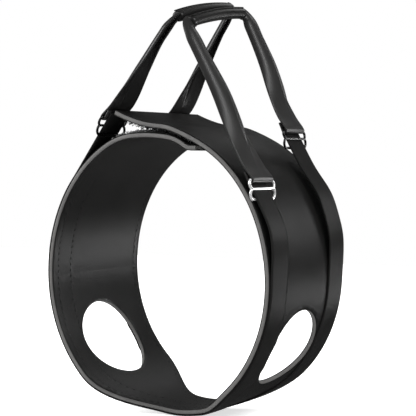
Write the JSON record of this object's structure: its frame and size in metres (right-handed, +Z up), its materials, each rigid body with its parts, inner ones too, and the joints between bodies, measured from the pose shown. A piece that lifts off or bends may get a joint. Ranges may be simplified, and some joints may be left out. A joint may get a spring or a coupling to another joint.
{
  "type": "dog rear lift harness",
  "caption": "Padded band that closes round a dog's hips, with leg holes and two adjustable strap loops whose padded grips are held together to lift the hind legs.",
  "frame": {"origin": "centre of the hip opening, midway between the band's front and rear edges", "axes": "+X to the right seen from the front, +Y to the rear along the dog's back, +Z up towards the grips"},
  "size_m": [0.2245, 0.14, 0.3604],
  "materials": {
    "cover_cloth": "smooth knitted cover on foam, soft sheen",
    "foam_edge": "matt cut edge of closed-cell foam",
    "lining_cloth": "smooth knitted lining, soft sheen",
    "hook_and_loop": "rough hooks and loops",
    "webbing": "woven webbing with a slight sheen",
    "grip_padding": "smooth padded sleeve, soft sheen",
    "bright_wire": "bright plated wire",
    "dark_wire": "dark plated wire with bright edges"
  },
  "bodies": {
    "band": {"band_outer_cover": "cover_cloth", "band_foam_core": "foam_edge", "band_lining": "lining_cloth", "front_webbing_sewn": "webbing", "rear_webbing_sewn": "webbing"},
    "outer_flap": {"outer_flap_cover": "cover_cloth", "outer_flap_foam": "foam_edge", "outer_flap_lining": "lining_cloth", "outer_flap_hook_patch": "hook_and_loop"},
    "flap_tip": {"flap_tip_cover": "cover_cloth", "flap_tip_foam": "foam_edge", "flap_tip_lining": "lining_cloth", "flap_tip_hook_patch": "hook_and_loop"},
    "inner_flap": {"inner_flap_cover": "cover_cloth", "inner_flap_foam": "foam_edge", "inner_flap_lining": "lining_cloth", "inner_flap_loop_patch": "hook_and_loop"},
    "left_webbing": {"left_front_webbing": "webbing", "left_rear_webbing": "webbing"},
    "left_handle": {"left_front_adjuster": "dark_wire", "left_rear_adjuster": "dark_wire", "left_front_strap": "webbing", "left_rear_strap": "webbing", "left_grip_core": "webbing", "left_grip_cover": "grip_padding"},
    "right_webbing": {"right_front_webbing": "webbing", "right_rear_webbing": "webbing"},
    "right_handle": {"right_front_adjuster": "bright_wire", "right_rear_adjuster": "dark_wire", "right_front_strap": "webbing", "right_rear_strap": "webbing", "right_grip_core": "webbing", "right_grip_cover": "grip_padding"}
  },
  "joints": [
    {"name": "left_loop_swing", "type": "hinge", "parent": "band", "child": "left_webbing", "pos_m": [-0.08553, 0, 0.07998], "axis": [0, -1, 0], "range_deg": [0, 150]},
    {"name": "right_loop_swing", "type": "hinge", "parent": "band", "child": "right_webbing", "pos_m": [0.1074, 0, 0.04766], "axis": [0, 1, 0], "range_deg": [0, 150]},
    {"name": "left_height", "type": "slide", "parent": "left_webbing", "child": "left_handle", "axis": [0.5872, 0, 0.8094], "range_m": [-0.02, 0]},
    {"name": "right_height", "type": "slide", "parent": "right_webbing", "child": "right_handle", "axis": [-0.4746, 0, 0.8802], "range_m": [-0.02, 0]},
    {"name": "outer_flap_open", "type": "hinge", "parent": "band", "child": "outer_flap", "pos_m": [0.07158, 0, 0.09491], "axis": [0, 1, 0], "range_deg": [0, 60]},
    {"name": "flap_tip_press", "type": "hinge", "parent": "outer_flap", "child": "flap_tip", "pos_m": [0.00449, 0, 0.12834], "axis": [0, 1, 0], "range_deg": [-10, 2], "stiffness_Nm_per_rad": 0.6, "springref_deg": 0.52},
    {"name": "inner_flap_press", "type": "hinge", "parent": "band", "child": "inner_flap", "pos_m": [-0.06845, 0, 0.09169], "axis": [0, 1, 0], "range_deg": [0, 12], "stiffness_Nm_per_rad": 2, "springref_deg": -5.73}
  ],
  "couplings": [
    {"joint": "left_loop_swing", "follows": "right_loop_swing", "ratio": 1},
    {"joint": "outer_flap_open", "follows": "right_loop_swing", "ratio": 0.4}
  ]
}
